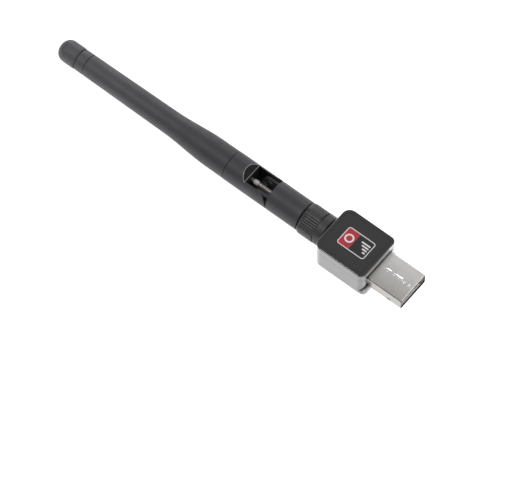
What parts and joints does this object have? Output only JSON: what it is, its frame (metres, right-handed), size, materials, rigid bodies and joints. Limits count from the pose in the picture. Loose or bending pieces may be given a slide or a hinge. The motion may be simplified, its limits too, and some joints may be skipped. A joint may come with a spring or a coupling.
{
  "type": "usb wifi adapter",
  "caption": "Small black USB network adapter with a metal plug and a screw-on antenna that swivels on its nut and folds at a slotted elbow.",
  "frame": {"origin": "centre of the USB plug's cross-section where the plug leaves the case; the antenna's axis runs through it", "axes": "+X out along the USB plug, -X out along the antenna, +Z out of the badge side of the case, +Y across the case"},
  "size_m": [0.138, 0.0172, 0.0109],
  "materials": {
    "case_black": "satin moulded ABS",
    "badge": "printed gloss label",
    "plug_steel": "plated sheet steel, fine grain",
    "tongue_white": "moulded",
    "gold": "gold plated",
    "board_green": "solder mask",
    "chip_black": "moulded epoxy",
    "can_metal": "stamped can",
    "passive_tan": "ceramic",
    "light_clear": "clear lens",
    "nickel": "nickel plated brass",
    "ptfe": "waxy",
    "rubber": "matt",
    "grip_black": "moulded, knurled",
    "antenna_black": "satin moulded",
    "cable_brown": "clear brown jacket",
    "brass": "drawn tube"
  },
  "bodies": {
    "adapter": {"top_shell": "case_black", "bottom_shell": "case_black", "label_badge": "badge", "usb_shell": "plug_steel", "usb_tongue": "tongue_white", "usb_contacts": "gold", "circuit_board": "board_green", "wifi_chip": "chip_black", "flash_chip": "chip_black", "crystal_can": "can_metal", "chip_passives": "passive_tan", "status_light": "light_clear", "jack_body": "gold", "jack_insulator": "ptfe", "jack_pin": "gold"},
    "connector": {"ferrule": "nickel", "snap_ring": "nickel", "gasket": "rubber", "swivel_clip": "nickel", "contact_insulator": "ptfe", "center_contact": "gold"},
    "nut": {"coupling_nut": "nickel", "knurled_sleeve": "grip_black"},
    "antenna_base": {"lower_knuckle": "antenna_black", "coax_lower": "cable_brown", "coax_elbow": "cable_brown"},
    "antenna_mast": {"upper_knuckle": "antenna_black", "elbow_pins": "nickel", "coax_upper": "cable_brown", "antenna_sleeve": "antenna_black", "tip_cap": "antenna_black", "dipole_sleeve": "brass", "radiator": "brass", "spacer_rings": "ptfe"}
  },
  "joints": [
    {"name": "nut_spin", "type": "hinge", "parent": "connector", "child": "nut", "pos_m": [-0.0188, 0, 0], "axis": [-1, 0, 0], "range_deg": [0, 2520]},
    {"name": "unscrew_slide", "type": "slide", "parent": "adapter", "child": "connector", "axis": [-1, 0, 0], "range_m": [0, 0.00494]},
    {"name": "base_swivel", "type": "hinge", "parent": "connector", "child": "antenna_base", "pos_m": [-0.0188, 0, 0], "axis": [1, 0, 0], "range_deg": [-180, 180]},
    {"name": "elbow_fold", "type": "hinge", "parent": "antenna_base", "child": "antenna_mast", "pos_m": [-0.04415, 0, 0], "axis": [0, 1, 0], "range_deg": [0, 90], "deforming": ["coax_elbow"]}
  ],
  "couplings": [
    {"joint": "nut_spin", "follows": "unscrew_slide", "rad_per_m": 8905.3}
  ]
}
